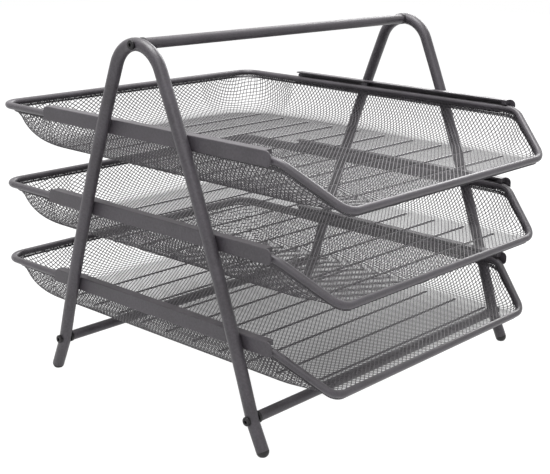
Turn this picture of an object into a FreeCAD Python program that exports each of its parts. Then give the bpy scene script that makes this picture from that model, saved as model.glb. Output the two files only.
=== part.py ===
import FreeCAD, Part
import math
import os

# Letter tray stack: three wire-mesh trays that slide in channel rails,
# carried by two bent-tube side frames.  Millimetres, +Z up, the trays open
# towards -Y.  The origin is the bottom centre of the whole stack.

V = FreeCAD.Vector

# ---------------------------------------------------------------- side frames
tube_d = 9.0
tube_wall = 1.0
apex_height = 263.2          # tube centre line at the top of the bend
apex_radius = 24.8           # centre line
leg_bow_radius = 2090.0      # the legs bow outward very slightly
front_bar_height = 24.0      # cross-bar axes above the floor, where the legs kink
rear_bar_height = 27.7
bar_reach = 103.9            # cross-bar axes from the frame's middle, fore and aft
kink_radius = 20.0           # centre line of the bend below the cross bar
foot_lean = 25.5             # degrees from upright, below the kink
foot_centre_height = 3.4     # centre of the rounded foot cap above the floor
cap_stem_length = 9.0
cap_fit = 0.03               # stem in tube, radial

# ------------------------------------------------------------ bars and screws
bar_d = 7.6
bar_wall = 1.0
saddle_d = 8.6               # shaped washer between bar end and leg
saddle_thickness = 1.0       # at the thinnest place, over the tube's crest
saddle_wing = 0.9            # how far the saddle wraps round the tube
saddle_fit = 0.02
screw_d = 4.0
screw_length = 20.0
screw_head_d = 6.6
screw_head_height = 1.9
screw_head_round = 0.8
hex_key = 2.5                # across flats
hex_depth = 1.2
screw_hole_fit = 0.15        # radial, tube and saddle
thread_fit = 0.05            # radial, screw in insert
insert_length = 12.0
insert_fit = 0.02            # radial, insert in bar

# ----------------------------------------------------------------------- trays
tray_names = ("bottom", "middle", "top")
rim_height_bottom = 73.5     # rim wire centre of the bottom tray
tier_pitch = 63.7
rim_wire_d = 5.2
rim_width = 269.6            # between the centre lines of the side wires
rim_length = 343.5           # between the centre lines of the rear and front wires
rim_rear_radius = 15.0
front_taper = 21.4           # front corners stand in from the side wires
front_radius = 14.0
lip_drop = 29.3              # front wire below the side wires
slope_run = 39.0             # from where the rim turns down to the front wire
slope_bend_radius = 18.0

hem_thickness = 0.7
hem_inset = 1.5              # from the rim wire's centre line to the hem's outer face
hem_top = 1.0                # hem's upper edge below the rim wire's centre line
hem_depth = 3.9              # hem's lower edge, along the rear
hem_bend_depth = 6.2         # hem's lower edge, where the rim turns down
hem_lip_depth = 4.1          # hem's lower edge, along the front
hem_fit = 0.05               # between wire and hem, and between hem and mesh

mesh_thickness = 0.7
upright_depth = 6.2          # the mesh stands upright beside the wire, down to here
upright_radius = 26.5        # and its rear corners have grown to this
floor_depth = 31.6           # underside of the floor below the rim wire's centre line
floor_inset = 24.6           # from the side and rear wires to the flat floor
floor_front_inset = 5.5
floor_front_taper = 7.9      # the floor's front corners stand in from the wire's
floor_rear_radius = 37.0
floor_bend_radius = 30.0
floor_front_radius = 13.0
corner_growth = 0.4          # how soon the corners grow round: 1 is steadily, less is sooner
wall_levels = 6              # outlines that shape the curved wall

crease_count = 10
crease_first = 31.5          # from the front rim wire to the first crease
crease_last = 46.05          # from the rear rim wire to the last crease
crease_width = 2.0
crease_depth = 1.0
crease_end_gap = 2.5         # from the crease's end to the edge of the flat floor

# a plain grid of openings stands for the fine mesh
opening_bar = 4.0            # sheet left between neighbouring openings
floor_openings = 12          # across each bay between two creases
front_openings = 10          # in the strip between the first crease and the lip
rear_openings = 8            # in the strip behind the last crease
side_windows = 10
rear_windows = 8
window_end_gap = 6.0         # from the slope to the first side window
rear_window_reach = 90.0     # half the width of the row of rear windows
window_top = 8.2             # upper windows, below the rim wire's centre line
window_split = 23.5          # upper windows end and lower windows start
window_foot = 2.5            # lower windows start this far outside the flat floor

# ----------------------------------------------------------------------- rails
rail_thickness = 1.0
rail_clearance = 1.3         # between the rim wire and the rail's web
rail_length_rear = 119.4     # from the frame's middle to the rear end
rail_length_front = 117.8    # from the frame's middle to the front end
rail_rise = 6.75             # top of the rail above the rim wire's centre line
rail_floor_gap = 0.3         # under the rim wire
lower_flange = 6.0           # width, from the outer face
upper_flange = 7.0
upper_setback = 5.0          # the upper flange stops short of the rounded front end
lower_setback = 12.0         # the lower one ends before the rim wire starts to fall
rail_nose_radius = 4.0
rail_tail_chamfer = 3.4
rail_bend = 0.8              # outside radius of the folded edges

# ---------------------------------------------------------------- tray travel
closed_offset = 20.35        # a pushed-in tray's middle lies this far behind the frame's
rest_pull = {"bottom": 0.0, "middle": 4.95, "top": 9.1}
travel = 150.0               # from pushed in to the stop
stop_fit = 0.3               # left between lug and tongue at full travel
lug_length = 6.0
lug_width = 2.4
lug_height = 5.0             # top of the lug above the rim wire's centre line
lug_fit = 0.02
tongue_length = 4.0
tongue_gap = 0.6             # between the tongue and the rim wire's top

# ------------------------------------------------------------- derived values
tube_r = tube_d / 2
rim_r = rim_wire_d / 2
rim_half = rim_width / 2
rim_half_length = rim_length / 2
front_half = rim_half - front_taper
floor_half = rim_half - floor_inset
floor_front_half = front_half - floor_front_taper
crease_pitch = (rim_length - crease_first - crease_last) / (crease_count - 1)
rail_inner = rim_half + rim_r + rail_clearance
rail_outer = rail_inner + rail_thickness
frame_half = rail_outer + tube_r             # middle planes of the two side frames
tray_front = closed_offset - max(rest_pull.values()) - rim_half_length - rim_r
tray_rear = closed_offset - min(rest_pull.values()) + rim_half_length + rim_r
frame_y = -(tray_front + tray_rear) / 2      # puts the stack's box on the origin
mesh_top = hem_top + hem_thickness / 2       # the mesh tucks up beside the wire, behind the hem
rail_floor = -rim_r - rail_floor_gap         # relative to the rim wire's centre line
rail_bottom = rail_floor - rail_thickness
flange_front = -rail_length_front + upper_setback
bar_half = frame_half - tube_r - saddle_thickness
rim_heights = {name: rim_height_bottom + i * tier_pitch for i, name in enumerate(tray_names)}

os.makedirs("parts", exist_ok=True)


def export(name, shape):
    shape.exportStep("parts/" + name + ".step")


def polar(radius, degrees):
    angle = math.radians(degrees)
    return V(0, radius * math.cos(angle), radius * math.sin(angle))


# ================================================================ side frames
def leg_geometry(kink_height):
    """Centre-line points of one leg of a side frame, in its own YZ plane, leaning to +Y.

    The bowed leg touches the apex bend from inside, so its centre lies on the
    line from the touching point through the apex centre.  It ends at the cross bar.
    """
    apex = V(0, 0, apex_height - apex_radius)
    kink = V(0, bar_reach, kink_height)
    span = kink - apex
    centre_gap = leg_bow_radius - apex_radius
    along = (leg_bow_radius ** 2 - centre_gap ** 2 - span.Length ** 2) / (2 * centre_gap)
    turn = math.degrees(math.acos(along / span.Length))
    touch_angle = math.degrees(math.atan2(span.z, span.y)) + turn
    touch = apex + polar(apex_radius, touch_angle)
    bow_centre = apex - polar(centre_gap, touch_angle)
    kink_angle = math.degrees(math.atan2(kink.z - bow_centre.z, kink.y - bow_centre.y))
    leg_middle = bow_centre + polar(leg_bow_radius, (touch_angle + kink_angle) / 2)
    # below the bar the tube bends outward, away from the bow's centre
    bend_centre = kink + polar(kink_radius, kink_angle)
    bend_mid = bend_centre - polar(kink_radius, (kink_angle + foot_lean) / 2)
    bend_end = bend_centre - polar(kink_radius, foot_lean)
    rest = (bend_end.z - foot_centre_height) / math.cos(math.radians(foot_lean))
    foot = bend_end + V(0, math.sin(math.radians(foot_lean)), -math.cos(math.radians(foot_lean))) * rest
    return {"apex_top": V(0, 0, apex_height), "touch": touch, "leg_middle": leg_middle,
            "kink": kink, "bend_mid": bend_mid, "bend_end": bend_end, "foot": foot}


LEGS = {-1: leg_geometry(front_bar_height), 1: leg_geometry(rear_bar_height)}


def leg_point(key, x, side_y):
    point = LEGS[side_y][key]
    return V(x, frame_y + side_y * point.y, point.z)


def frame_path(x):
    keys = ("foot", "bend_end", "bend_mid", "kink", "leg_middle", "touch")
    front = [leg_point(key, x, -1) for key in keys]
    rear = [leg_point(key, x, 1) for key in keys]
    top = leg_point("apex_top", x, 1)
    edges = [Part.LineSegment(front[0], front[1]).toShape(),
             Part.Arc(front[1], front[2], front[3]).toShape(),
             Part.Arc(front[3], front[4], front[5]).toShape(),
             Part.Arc(front[5], top, rear[5]).toShape(),
             Part.Arc(rear[5], rear[4], rear[3]).toShape(),
             Part.Arc(rear[3], rear[2], rear[1]).toShape(),
             Part.LineSegment(rear[1], rear[0]).toShape()]
    return Part.Wire(edges)


def sweep(path, radius):
    start = path.Edges[0]
    first = start.valueAt(start.FirstParameter)
    heading = start.tangentAt(start.FirstParameter)
    ring = Part.Wire([Part.makeCircle(radius, first, heading)])
    return path.makePipeShell([ring], True, False)


def bar_places():
    """Axis points (y, z) of the handle bar and the two cross bars."""
    return {"handle_bar": (frame_y, apex_height),
            "front_cross_bar": (frame_y - bar_reach, front_bar_height),
            "rear_cross_bar": (frame_y + bar_reach, rear_bar_height)}


def side_frame(side):
    x = side * frame_half
    path = frame_path(x)
    tube = sweep(path, tube_r).cut(sweep(path, tube_r - tube_wall))
    for y, z in bar_places().values():
        hole = Part.makeCylinder(screw_d / 2 + screw_hole_fit, 2 * tube_d, V(x - tube_d, y, z), V(1, 0, 0))
        tube = tube.cut(hole)
    return tube


def foot_cap(side_x, side_y):
    """Rounded cap with a stem that plugs into the leg, cut flat at the floor."""
    centre = leg_point("foot", side_x * frame_half, side_y)
    up = (leg_point("bend_end", side_x * frame_half, side_y) - centre).normalize()
    ball = Part.makeSphere(tube_r, centre)
    big = 4 * tube_d
    upper_half = Part.makeCylinder(big, big, centre, up)
    dome = ball.cut(upper_half)
    stem = Part.makeCylinder(tube_r - tube_wall - cap_fit, cap_stem_length, centre, up)
    cap = dome.fuse(stem)
    below_floor = Part.makeBox(big, big, big, centre + V(-big / 2, -big / 2, -big - foot_centre_height))
    return cap.cut(below_floor).removeSplitter()


# ============================================================ bars and screws
def bar(y, z):
    outer = Part.makeCylinder(bar_d / 2, 2 * bar_half, V(-bar_half, y, z), V(1, 0, 0))
    inner = Part.makeCylinder(bar_d / 2 - bar_wall, 2 * bar_half, V(-bar_half, y, z), V(1, 0, 0))
    return outer.cut(inner)


def saddle(side, y, z):
    length = saddle_thickness + saddle_wing
    washer = Part.makeCylinder(saddle_d / 2, length, V(side * bar_half, y, z), V(side, 0, 0))
    hole = Part.makeCylinder(screw_d / 2 + screw_hole_fit, length, V(side * bar_half, y, z), V(side, 0, 0))
    seat = sweep(frame_path(side * frame_half), tube_r + saddle_fit)
    return washer.cut(hole).cut(seat)


def insert(side, y, z):
    start = V(side * bar_half, y, z)
    inward = V(-side, 0, 0)
    plug = Part.makeCylinder(bar_d / 2 - bar_wall - insert_fit, insert_length, start, inward)
    return plug.cut(Part.makeCylinder(screw_d / 2 + thread_fit, insert_length, start, inward))


def screw(side, y, z):
    seat = V(side * (frame_half + tube_r), y, z)
    outward = V(side, 0, 0)
    head = Part.makeCylinder(screw_head_d / 2, screw_head_height, seat, outward)
    crown_x = seat.x + side * screw_head_height
    crown = [e for e in head.Edges if abs(e.CenterOfMass.x - crown_x) < 1e-6 and e.Closed]
    head = head.makeFillet(screw_head_round, crown)
    corner = hex_key / 2 / math.cos(math.radians(30))
    points = [seat + V(side * screw_head_height, corner * math.cos(math.radians(60 * i)),
                       corner * math.sin(math.radians(60 * i))) for i in range(6)]
    key = Part.Face(Part.makePolygon(points + points[:1])).extrude(outward * -hex_depth)
    shank = Part.makeCylinder(screw_d / 2, screw_length, seat, outward * -1)
    return head.cut(key).fuse(shank).removeSplitter()


def at_bar_ends(make):
    """One solid at each end of each bar."""
    return Part.Compound([make(side, y, z) for y, z in bar_places().values() for side in (-1, 1)])


# ======================================================================= rails
def rail(side, rim_z):
    """C-channel, open towards the tray.  Built for the right side, mirrored for the left."""
    x_out = rail_outer
    y_tail = frame_y + rail_length_rear
    y_nose = frame_y - rail_length_front
    y_flange = frame_y + flange_front
    y_lower = y_nose + lower_setback
    z_low = rim_z + rail_bottom
    z_top = rim_z + rail_rise
    r = rail_nose_radius
    s = r * (1 - math.sqrt(0.5))
    nose_low = Part.Arc(V(x_out, y_nose + r, z_low), V(x_out, y_nose + s, z_low + s), V(x_out, y_nose, z_low + r))
    nose_high = Part.Arc(V(x_out, y_nose, z_top - r), V(x_out, y_nose + s, z_top - s), V(x_out, y_nose + r, z_top))
    web_outline = [Part.LineSegment(V(x_out, y_tail, z_low), V(x_out, y_nose + r, z_low)).toShape(),
                   nose_low.toShape(),
                   Part.LineSegment(V(x_out, y_nose, z_low + r), V(x_out, y_nose, z_top - r)).toShape(),
                   nose_high.toShape(),
                   Part.LineSegment(V(x_out, y_nose + r, z_top), V(x_out, y_tail - rail_tail_chamfer, z_top)).toShape(),
                   Part.LineSegment(V(x_out, y_tail - rail_tail_chamfer, z_top),
                                    V(x_out, y_tail, z_top - rail_tail_chamfer)).toShape(),
                   Part.LineSegment(V(x_out, y_tail, z_top - rail_tail_chamfer), V(x_out, y_tail, z_low)).toShape()]
    web = Part.Face(Part.Wire(web_outline)).extrude(V(-rail_thickness, 0, 0))
    y_top_tail = y_tail - rail_tail_chamfer
    lower = Part.makeBox(lower_flange, y_tail - y_lower, rail_thickness, V(x_out - lower_flange, y_lower, z_low))
    upper = Part.makeBox(upper_flange, y_top_tail - y_flange, rail_thickness,
                         V(x_out - upper_flange, y_flange, z_top - rail_thickness))
    tongue_low = rim_z + rim_r + tongue_gap
    tongue = Part.makeBox(upper_flange - rail_thickness, tongue_length, z_top - rail_thickness - tongue_low,
                          V(x_out - upper_flange, y_flange, tongue_low))
    channel = web.fuse([lower, upper, tongue]).removeSplitter()
    folded = [e for e in channel.Edges
              if e.Length > rail_length_rear and abs(e.CenterOfMass.x - x_out) < 1e-6
              and abs(e.tangentAt(e.FirstParameter).y) > 0.999]
    channel = channel.makeFillet(rail_bend, folded)
    if side < 0:
        channel = channel.mirror(V(0, 0, 0), V(1, 0, 0))
    return channel


# ======================================================================= trays
def bent_path(points, radii):
    """Straight runs joined by tangent arcs at the inner points."""
    edges = []
    start = points[0]
    for i, radius in enumerate(radii, start=1):
        corner = points[i]
        back = (points[i - 1] - corner).normalize()
        ahead = (points[i + 1] - corner).normalize()
        half_turn = (math.pi - back.getAngle(ahead)) / 2
        first = corner + back * (radius * math.tan(half_turn))
        last = corner + ahead * (radius * math.tan(half_turn))
        inward = (back + ahead).normalize()
        middle = corner + inward * (radius / math.cos(half_turn) - radius)
        edges.append(Part.LineSegment(start, first).toShape())
        edges.append(Part.Arc(first, middle, last).toShape())
        start = last
    edges.append(Part.LineSegment(start, points[-1]).toShape())
    return edges


def rim_outline():
    """Half of the rim wire's centre line: rear middle, rear corner, bend, front corner, front middle."""
    front = -rim_half_length
    return [V(0, rim_half_length, 0), V(rim_half, rim_half_length, 0), V(rim_half, front + slope_run, 0),
            V(front_half, front, -lip_drop), V(0, front, -lip_drop)]


def floor_outline():
    rear = rim_half_length - floor_inset
    front = -rim_half_length + floor_front_inset
    bend = -rim_half_length + slope_run
    return [V(0, rear, -floor_depth), V(floor_half, rear, -floor_depth), V(floor_half, bend, -floor_depth),
            V(floor_front_half, front, -floor_depth), V(0, front, -floor_depth)]


RIM_RADII = [rim_rear_radius, slope_bend_radius, front_radius]
FLOOR_RADII = [floor_rear_radius, floor_bend_radius, floor_front_radius]


def inset(outline, distance, drop=0.0):
    """The outline moved inward in plan by distance, and down by drop."""
    normals = []
    for p, q in zip(outline, outline[1:]):
        run = V(q.x - p.x, q.y - p.y, 0).normalize()
        normals.append(V(run.y, -run.x, 0))
    moved = [outline[0] + normals[0] * distance]
    for point, n1, n2 in zip(outline[1:-1], normals, normals[1:]):
        moved.append(point + (n1 + n2) * (distance / (1 + n1.dot(n2))))
    moved.append(outline[-1] + normals[-1] * distance)
    return [p - V(0, 0, drop) for p in moved]


def half_wire(level, side):
    outline, radii = level
    points = [V(side * p.x, p.y, p.z) for p in outline]
    return Part.Wire(bent_path(points, radii))


def thin_sheet(outer, inner, straight, with_floor):
    """Closed solid between matching stacks of outlines, with a flat floor or open below.

    The first stretches, as many as straight says, are ruled, and the rest is one smooth wall.
    """
    faces = []
    for side in (1, -1):
        for levels in (outer, inner):
            wires = [half_wire(level, side) for level in levels]
            for i in range(straight):
                faces += Part.makeLoft(wires[i:i + 2], False, True).Faces
            if len(wires) > straight + 1:
                faces += Part.makeLoft(wires[straight:], False, False).Faces
        ends = [0] if with_floor else [0, -1]
        for end in ends:
            faces += Part.makeLoft([half_wire(outer[end], side), half_wire(inner[end], side)], False, True).Faces
    if with_floor:
        for levels in (outer, inner):
            edges = half_wire(levels[-1], 1).Edges + half_wire(levels[-1], -1).Edges
            faces.append(Part.Face(Part.Wire(Part.__sortEdges__(edges))))
    shell = Part.Compound(faces)
    shell.sewShape()
    solid = Part.makeSolid(shell.Shells[0])
    if solid.Volume < 0:
        solid.reverse()
    return solid


def swept_rim(radius):
    path = Part.Wire(bent_path(rim_outline(), RIM_RADII))
    half = sweep(path, radius)
    return [half, half.mirror(V(0, 0, 0), V(1, 0, 0))]


def tray_rim():
    right, left = swept_rim(rim_r)
    return right.fuse(left).removeSplitter()


def rim_level(distance, rear_drop, bend_drop, lip_drop_here, corner_radius):
    """Outline inside the rim wire, and its corner radii, some way below the wire."""
    outline = inset(rim_outline(), distance, 0)
    drops = [rear_drop, rear_drop, bend_drop, lip_drop_here, lip_drop_here]
    outline = [p - V(0, 0, drop) for p, drop in zip(outline, drops)]
    return outline, [corner_radius - distance, slope_bend_radius, front_radius - distance]


def leaning_radius(drop):
    """Rear corner radius of the hem and of the mesh behind it, this far below the wire."""
    share = (drop - hem_top) / (upright_depth - hem_top)
    return rim_rear_radius + (upright_radius - rim_rear_radius) * share


def tray_hem():
    """Folded edge band, close under the inner side of the rim wire and outside the mesh."""
    stacks = []
    for distance in (hem_inset, hem_inset + hem_thickness):
        stacks.append([rim_level(distance, hem_top, hem_top, hem_top, rim_rear_radius),
                       rim_level(distance, hem_depth, hem_bend_depth, hem_lip_depth, leaning_radius(hem_depth))])
    return thin_sheet(stacks[0], stacks[1], 1, False).cut(swept_rim(rim_r + hem_fit))


def tray_basket():
    """Mesh: upright behind the hem, then curved walls down to a flat, creased floor."""
    distance = hem_inset + hem_thickness + hem_fit
    top, top_radii = rim_level(distance, mesh_top, mesh_top, mesh_top, leaning_radius(mesh_top))
    band = (upright_depth - mesh_top) / (floor_depth - mesh_top)
    band_radii = [leaning_radius(upright_depth) - distance] + top_radii[1:]
    floor = floor_outline()
    shape = [(1.0, 0.0, top_radii)]
    for i in range(wall_levels + 1):
        angle = math.pi / 2 * i / wall_levels
        across, down = math.cos(angle), math.sin(angle)
        radii = [t + (f - t) * down ** corner_growth for t, f in zip(band_radii, FLOOR_RADII)]
        shape.append((across, band + (1 - band) * down, radii))
    outer, inner = [], []
    for across, down, radii in shape:
        points = [V(f.x + (t.x - f.x) * across, f.y + (t.y - f.y) * across, t.z + (f.z - t.z) * down)
                  for t, f in zip(top, floor)]
        lift = mesh_thickness * (down - band) / (1 - band) if down > band else 0.0
        skin = mesh_thickness * across
        outer.append((points, radii))
        inner.append((inset(points, skin, -lift), [r - skin for r in radii]))
    basket = thin_sheet(outer, inner, 1, True).cut(swept_rim(rim_r + hem_fit))
    return crease(basket).cut(floor_grid() + wall_grid())


def crease(basket):
    """Cross creases pressed down into the floor: a groove above, a ridge below."""
    half = floor_half - crease_end_gap
    ridges, grooves = [], []
    for i in range(crease_count):
        y = -rim_half_length + crease_first + i * crease_pitch
        for group, z in ((ridges, -floor_depth), (grooves, -floor_depth + mesh_thickness)):
            corners = [V(-half, y - crease_width / 2, z), V(-half, y + crease_width / 2, z), V(-half, y, z - crease_depth)]
            group.append(Part.Face(Part.makePolygon(corners + corners[:1])).extrude(V(2 * half, 0, 0)))
    return basket.fuse(ridges).cut(grooves).removeSplitter()


def row(middle_y, length, half_width, count):
    """A row of openings across the floor."""
    pitch = 2 * half_width / count
    return [Part.makeBox(pitch - opening_bar, length, 2 * mesh_thickness,
                         V(-half_width + i * pitch + opening_bar / 2, middle_y - length / 2,
                           -floor_depth - mesh_thickness / 2)) for i in range(count)]


def floor_grid():
    """Openings in the flat floor, clear of the creases."""
    half = floor_half - crease_end_gap
    pitch = 2 * half / floor_openings
    margin = crease_width / 2 + opening_bar / 2
    first = -rim_half_length + crease_first
    last = rim_half_length - crease_last
    cuts = []
    for i in range(crease_count - 1):
        cuts += row(first + (i + 0.5) * crease_pitch, crease_pitch - 2 * margin, half, floor_openings)
    front = -rim_half_length + floor_front_inset + opening_bar
    cuts += row((front + first - margin) / 2, first - margin - front, front_openings * pitch / 2, front_openings)
    rear = rim_half_length - floor_inset - opening_bar / 2
    cuts += row((rear + last + margin) / 2, rear - last - margin, rear_openings * pitch / 2, rear_openings)
    return cuts


def window_pair(along_start, along, floor_edge, on_side):
    """An upper window through the steep part of a wall, and a lower one through its curved foot."""
    reach = floor_inset - mesh_top
    upper = V(reach, along, window_split - window_top)
    lower = V(reach * math.sqrt(1 - ((window_split - upright_depth) / (floor_depth - upright_depth)) ** 2) - window_foot,
              along, floor_depth - window_split)
    places = [(upper, V(floor_edge + floor_inset / 3, along_start, -window_split)),
              (lower, V(floor_edge + window_foot, along_start, -floor_depth - mesh_thickness))]
    boxes = []
    for size, corner in places:
        if on_side:
            boxes.append(Part.makeBox(size.x, size.y, size.z, corner))
        else:
            boxes.append(Part.makeBox(size.y, size.x, size.z, V(corner.y, corner.x, corner.z)))
    return boxes


def wall_grid():
    """Windows in the side and rear walls."""
    cuts = []
    start = -rim_half_length + slope_run + window_end_gap
    pitch = (rim_half_length - floor_inset - floor_rear_radius - start) / side_windows
    for i in range(side_windows):
        pair = window_pair(start + i * pitch + opening_bar / 2, pitch - opening_bar, floor_half, True)
        cuts += pair + [box.mirror(V(0, 0, 0), V(1, 0, 0)) for box in pair]
    pitch = 2 * rear_window_reach / rear_windows
    for i in range(rear_windows):
        cuts += window_pair(-rear_window_reach + i * pitch + opening_bar / 2, pitch - opening_bar,
                            rim_half_length - floor_inset, False)
    return cuts


def tray_lugs():
    """Stop lugs on top of the side wires.  They meet the rail tongues at full travel."""
    front_face = frame_y + flange_front + tongue_length + travel + stop_fit
    middle = front_face + lug_length / 2 - (frame_y + closed_offset)
    lugs = []
    for side in (-1, 1):
        x = side * rim_half
        block = Part.makeBox(lug_width, lug_length, lug_height, V(x - lug_width / 2, middle - lug_length / 2, 0))
        wire = Part.makeCylinder(rim_r + lug_fit, 2 * lug_length, V(x, middle - lug_length, 0), V(0, 1, 0))
        lugs.append(block.cut(wire))
    return Part.Compound(lugs)


# ===================================================================== exports
for label, side in (("left", -1), ("right", 1)):
    export("side_frame_" + label, side_frame(side))
    for end, side_y in (("front", -1), ("rear", 1)):
        export("foot_cap_" + end + "_" + label, foot_cap(side, side_y))
    for name, rim_z in rim_heights.items():
        export("rail_" + label + "_" + name, rail(side, rim_z))

for name, (y, z) in bar_places().items():
    export(name, bar(y, z))

export("frame_screws", at_bar_ends(screw))
export("threaded_inserts", at_bar_ends(insert))
export("saddle_washers", at_bar_ends(saddle))

tray_pieces = {"rim_wire": tray_rim(), "hem": tray_hem(), "basket": tray_basket(), "stop_lugs": tray_lugs()}
for name in tray_names:
    spot = V(0, frame_y + closed_offset - rest_pull[name], rim_heights[name])
    for piece, shape in tray_pieces.items():
        export("tray_" + name + "_" + piece, shape.translated(spot))
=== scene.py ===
# %% [markdown]
# # A letter tray stack with three sliding drawers
#
# The real thing is a desk organiser: three shallow trays of fine steel mesh slide
# in channel rails, and two bent-tube side frames carry the rails.  The sizes and
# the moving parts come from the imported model, which is loaded first as a fixed
# frame.  Blender then adds what the solids leave out: real mesh strands in place of
# the plain sheets, a powder coat on every part, and a studio.
# The scene is in metres, with the trays opening towards -Y.

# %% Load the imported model
import math

import bpy
import numpy as np
from mathutils import Matrix, Vector


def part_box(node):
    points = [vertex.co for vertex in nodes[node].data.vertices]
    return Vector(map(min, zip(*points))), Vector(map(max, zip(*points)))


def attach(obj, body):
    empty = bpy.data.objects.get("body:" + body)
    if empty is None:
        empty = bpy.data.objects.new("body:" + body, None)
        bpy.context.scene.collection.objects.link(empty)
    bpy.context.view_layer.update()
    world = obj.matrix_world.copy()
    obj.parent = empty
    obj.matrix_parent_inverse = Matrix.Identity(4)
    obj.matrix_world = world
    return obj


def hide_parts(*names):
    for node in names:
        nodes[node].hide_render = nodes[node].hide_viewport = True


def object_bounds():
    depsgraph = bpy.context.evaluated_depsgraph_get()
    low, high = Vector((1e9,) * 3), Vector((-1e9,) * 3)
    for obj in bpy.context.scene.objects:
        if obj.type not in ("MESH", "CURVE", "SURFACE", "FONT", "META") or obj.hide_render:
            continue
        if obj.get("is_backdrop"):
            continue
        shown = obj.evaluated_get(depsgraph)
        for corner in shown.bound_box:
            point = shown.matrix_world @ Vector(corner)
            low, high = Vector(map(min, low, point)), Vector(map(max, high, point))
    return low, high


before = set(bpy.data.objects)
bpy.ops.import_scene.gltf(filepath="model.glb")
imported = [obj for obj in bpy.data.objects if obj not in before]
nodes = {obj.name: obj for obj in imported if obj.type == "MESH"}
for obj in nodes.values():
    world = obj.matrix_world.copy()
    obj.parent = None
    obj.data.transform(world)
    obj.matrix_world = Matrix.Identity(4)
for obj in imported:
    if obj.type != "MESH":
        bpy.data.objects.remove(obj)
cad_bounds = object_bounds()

MM = 0.001

# %% [markdown]
# ## The camera
#
# The stack is seen from its front left corner, a little above the top tray.  The
# camera could be aimed with a Track To constraint, but a plain matrix made from
# three angles says exactly where it looks and is easy to change later.  The small
# shift moves the picture on the sensor without turning the camera.

# %% Aim the camera
IMAGE_WIDTH = 550
CAMERA_AT = Vector((-0.6209, -0.6100, 0.3493))
CAMERA_YAW, CAMERA_PITCH, CAMERA_ROLL = (math.radians(a) for a in (49.895, -17.44, 0.92))
FOCAL_PIXELS = 1114.8
SHIFT_PIXELS = (-81.2, 24.9)
SENSOR_WIDTH = 36

looks = Vector((math.sin(CAMERA_YAW) * math.cos(CAMERA_PITCH),
                math.cos(CAMERA_YAW) * math.cos(CAMERA_PITCH), math.sin(CAMERA_PITCH)))
level_right = Vector((math.cos(CAMERA_YAW), -math.sin(CAMERA_YAW), 0))
level_up = level_right.cross(looks)
right = math.cos(CAMERA_ROLL) * level_right + math.sin(CAMERA_ROLL) * level_up
up = math.cos(CAMERA_ROLL) * level_up - math.sin(CAMERA_ROLL) * level_right

camera_data = bpy.data.cameras.new("camera")
camera_data.sensor_width = SENSOR_WIDTH
camera_data.lens = FOCAL_PIXELS / IMAGE_WIDTH * SENSOR_WIDTH
camera_data.shift_x = SHIFT_PIXELS[0] / IMAGE_WIDTH
camera_data.shift_y = SHIFT_PIXELS[1] / IMAGE_WIDTH
camera_data.clip_start, camera_data.clip_end = 0.05, 50
camera = bpy.data.objects.new("camera", camera_data)
bpy.context.scene.collection.objects.link(camera)
aim = Matrix((right, up, -looks)).transposed().to_4x4()
aim.translation = CAMERA_AT
camera.matrix_world = aim
bpy.context.scene.camera = camera
bpy.context.scene.view_settings.view_transform = "Standard"
print("lens", round(camera_data.lens, 1), "mm")

# %% [markdown]
# ## Short words for node trees
#
# A material is a tree of small nodes, joined from output to input.  Built by hand
# it is a drawing.  Built by a script it reads better as a few plain verbs, so that
# each finish below is a handful of lines.

# %% Helpers: add, feed and join nodes
def add(tree, kind, **settings):
    node = tree.nodes.new(kind)
    for name, value in settings.items():
        setattr(node, name, value)
    return node


def feed(tree, socket, value):
    """Give a socket a plain value, or the output of another node."""
    if isinstance(value, bpy.types.NodeSocket):
        tree.links.new(value, socket)
    else:
        socket.default_value = value


def join(tree, *pairs):
    for output, entry in pairs:
        tree.links.new(output, entry)


# %% Helpers: sums, noise and ranges
def maths(tree, operation, first, second):
    node = add(tree, "ShaderNodeMath", operation=operation)
    feed(tree, node.inputs[0], first)
    feed(tree, node.inputs[1], second)
    return node.outputs["Value"]


def vector_maths(tree, operation, first, second=None):
    node = add(tree, "ShaderNodeVectorMath", operation=operation)
    feed(tree, node.inputs[0], first)
    if second is not None:
        feed(tree, node.inputs[1], second)
    return node.outputs["Value" if operation in ("LENGTH", "DOT_PRODUCT") else "Vector"]


def axes(tree, vector):
    """The X, Y and Z outputs of a vector."""
    node = add(tree, "ShaderNodeSeparateXYZ")
    feed(tree, node.inputs["Vector"], vector)
    return node.outputs


def noise(tree, place, per_metre, detail=2.0, roughness=0.5):
    """Cloudy values between 0 and 1."""
    node = add(tree, "ShaderNodeTexNoise")
    for label, value in (("Vector", place), ("Scale", per_metre),
                         ("Detail", detail), ("Roughness", roughness)):
        feed(tree, node.inputs[label], value)
    return node.outputs["Fac"]


def remap(tree, value, start, end, low=0.0, high=1.0, curve="LINEAR"):
    """Low at start and high at end, and no further on either side."""
    node = add(tree, "ShaderNodeMapRange", interpolation_type=curve)
    for label, given in (("Value", value), ("From Min", start), ("From Max", end),
                         ("To Min", low), ("To Max", high)):
        feed(tree, node.inputs[label], given)
    return node.outputs["Result"]


# %% [markdown]
# ## Shared paint effects
#
# Powder coat is a baked plastic skin: never quite one colour, and never quite
# smooth.  It has a fine orange-peel ripple and tiny darker specks, and it is
# thinner and paler on sharp edges.  Each effect is a shader node group, so the same
# recipe can go into every coated part with its own values.  The groups only give
# out masks and heights.  The shader itself stays in each material.

# %% A helper for node groups
def new_group(name, inputs, outputs):
    """A shader node group with number inputs, {name: default}, or vector ones, {name: None}."""
    tree = bpy.data.node_groups.new(name, "ShaderNodeTree")
    for label, value in inputs.items():
        kind = "NodeSocketVector" if value is None else "NodeSocketFloat"
        socket = tree.interface.new_socket(label, in_out="INPUT", socket_type=kind)
        if value is not None:
            socket.default_value = value
    for label in outputs:
        tree.interface.new_socket(label, in_out="OUTPUT", socket_type="NodeSocketFloat")
    return tree, add(tree, "NodeGroupInput").outputs, add(tree, "NodeGroupOutput").inputs


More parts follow.
